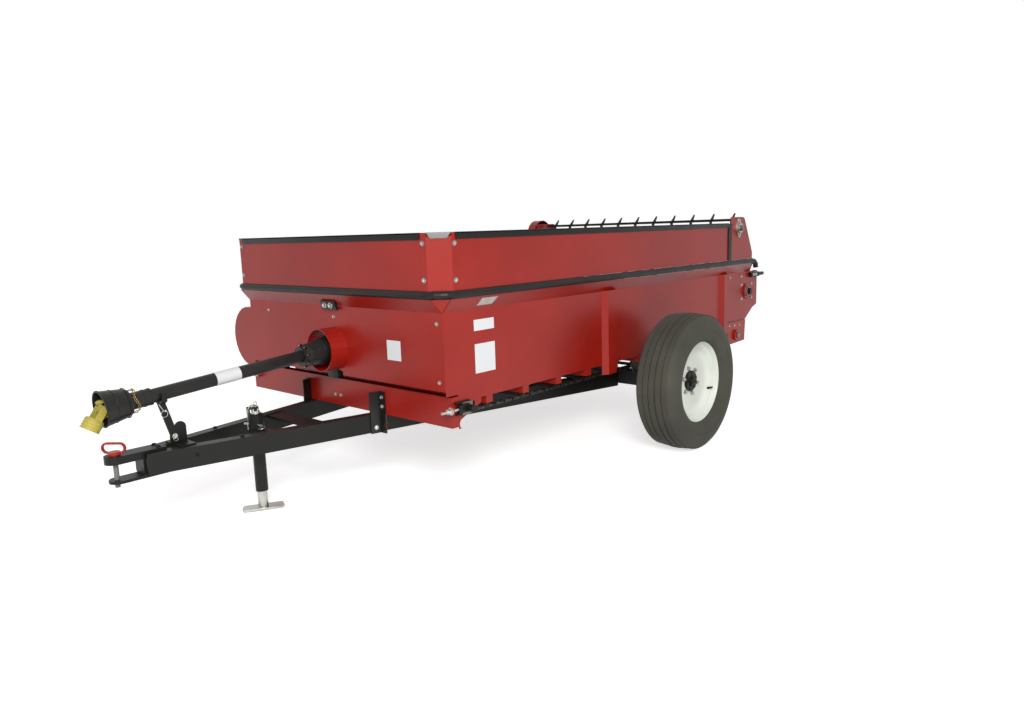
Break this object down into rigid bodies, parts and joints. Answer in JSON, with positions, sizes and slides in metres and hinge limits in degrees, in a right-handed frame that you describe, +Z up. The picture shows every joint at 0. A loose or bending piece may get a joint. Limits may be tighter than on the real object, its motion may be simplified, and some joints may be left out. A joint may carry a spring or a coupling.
{
  "type": "manure spreader",
  "caption": "Two-wheel box manure spreader with slatted apron, rear beaters, A-frame tongue, parking jack and telescoping driveline.",
  "frame": {"origin": "on the ground, in the middle of the machine's bounding box", "axes": "+Z up, tongue towards -Y, the machine's left side towards +X"},
  "size_m": [2.232, 4.0683, 1.2421],
  "materials": {
    "red_enamel": "gloss",
    "black_enamel": "satin",
    "floor_boards": "matte",
    "bare_steel": "satin",
    "zinc_plate": "satin",
    "black_plastic": "satin",
    "yoke_yellow": "satin",
    "tyre_rubber": "matte",
    "wheel_white": "gloss"
  },
  "bodies": {
    "chassis": {"apron": "black_enamel", "apron_front_shaft": "bare_steel", "apron_rear_shaft": "bare_steel", "axle": "black_enamel", "beater_chain_case": "red_enamel", "box_side_left": "red_enamel", "box_side_right": "red_enamel", "corner_post_left": "red_enamel", "corner_post_right": "red_enamel", "driveline_holder_lug": "black_enamel", "extension_front": "red_enamel", "extension_left": "red_enamel", "extension_right": "red_enamel", "floor": "floor_boards", "floor_frame": "red_enamel", "front_panel": "red_enamel", "front_sill": "red_enamel", "front_wall": "red_enamel", "hitch_clevis": "black_enamel", "hitch_pin": "red_enamel", "input_shaft": "bare_steel", "jack_tube": "black_enamel", "rear_gearbox": "bare_steel", "rub_rail": "black_enamel", "side_drive_guard": "red_enamel", "tongue_beam_left": "black_enamel", "tongue_beam_right": "black_enamel", "tongue_cross_brace": "black_enamel", "top_trim": "black_enamel", "upper_beater_plate_left": "red_enamel", "upper_beater_plate_right": "red_enamel"},
    "wheel_left": {"tyre_left": "tyre_rubber", "rim_left": "wheel_white", "hub_left": "black_enamel"},
    "wheel_right": {"tyre_right": "tyre_rubber", "rim_right": "wheel_white", "hub_right": "black_enamel"},
    "lower_rotor": {"lower_beater": "black_enamel"},
    "upper_rotor": {"upper_beater": "black_enamel"},
    "driveline_rear": {"driveline_rear_guard": "black_plastic"},
    "driveline_front": {"driveline_front_guard": "black_plastic"},
    "yoke": {"driveline_inner_yoke": "yoke_yellow"},
    "holder": {"driveline_holder": "black_enamel"},
    "jack_foot_leg": {"jack_leg": "zinc_plate"},
    "outer_yoke": {"driveline_outer_yoke": "yoke_yellow"}
  },
  "joints": [
    {"name": "wheel_left_turn", "type": "hinge", "parent": "chassis", "child": "wheel_left", "pos_m": [1.0035, 0.58306, 0.36], "axis": [-1, 0, 0], "continuous": true},
    {"name": "wheel_right_turn", "type": "hinge", "parent": "chassis", "child": "wheel_right", "pos_m": [-1.0035, 0.58306, 0.36], "axis": [-1, 0, 0], "continuous": true},
    {"name": "lower_beater_turn", "type": "hinge", "parent": "chassis", "child": "lower_rotor", "pos_m": [0, 1.83406, 0.728], "axis": [-1, 0, 0], "continuous": true},
    {"name": "upper_beater_turn", "type": "hinge", "parent": "chassis", "child": "upper_rotor", "pos_m": [0, 1.60906, 1.145], "axis": [-1, 0, 0], "continuous": true},
    {"name": "driveline_lift", "type": "hinge", "parent": "chassis", "child": "driveline_rear", "pos_m": [0, -0.94494, 0.657], "axis": [-1, 0, 0], "range_deg": [0, 15]},
    {"name": "driveline_slide", "type": "slide", "parent": "driveline_rear", "child": "driveline_front", "axis": [0, -0.9962, -0.0872], "range_m": [0, 0.3]},
    {"name": "yoke_turn", "type": "hinge", "parent": "driveline_front", "child": "yoke", "pos_m": [0, -0.94494, 0.657], "axis": [0, -0.9962, -0.0872], "continuous": true},
    {"name": "yoke_bend", "type": "hinge", "parent": "yoke", "child": "outer_yoke", "pos_m": [0, -1.95706, 0.56845], "axis": [-1, 0, 0], "range_deg": [0, 100]},
    {"name": "holder_fold", "type": "hinge", "parent": "chassis", "child": "holder", "pos_m": [0, -1.69993, 0.4097], "axis": [1, 0, 0], "range_deg": [0, 50]},
    {"name": "jack_lift", "type": "slide", "parent": "chassis", "child": "jack_foot_leg", "axis": [0, 0, 1], "range_m": [-0.18, 0.07]}
  ],
  "couplings": [
    {"joint": "upper_beater_turn", "follows": "lower_beater_turn", "ratio": 1.2069}
  ]
}
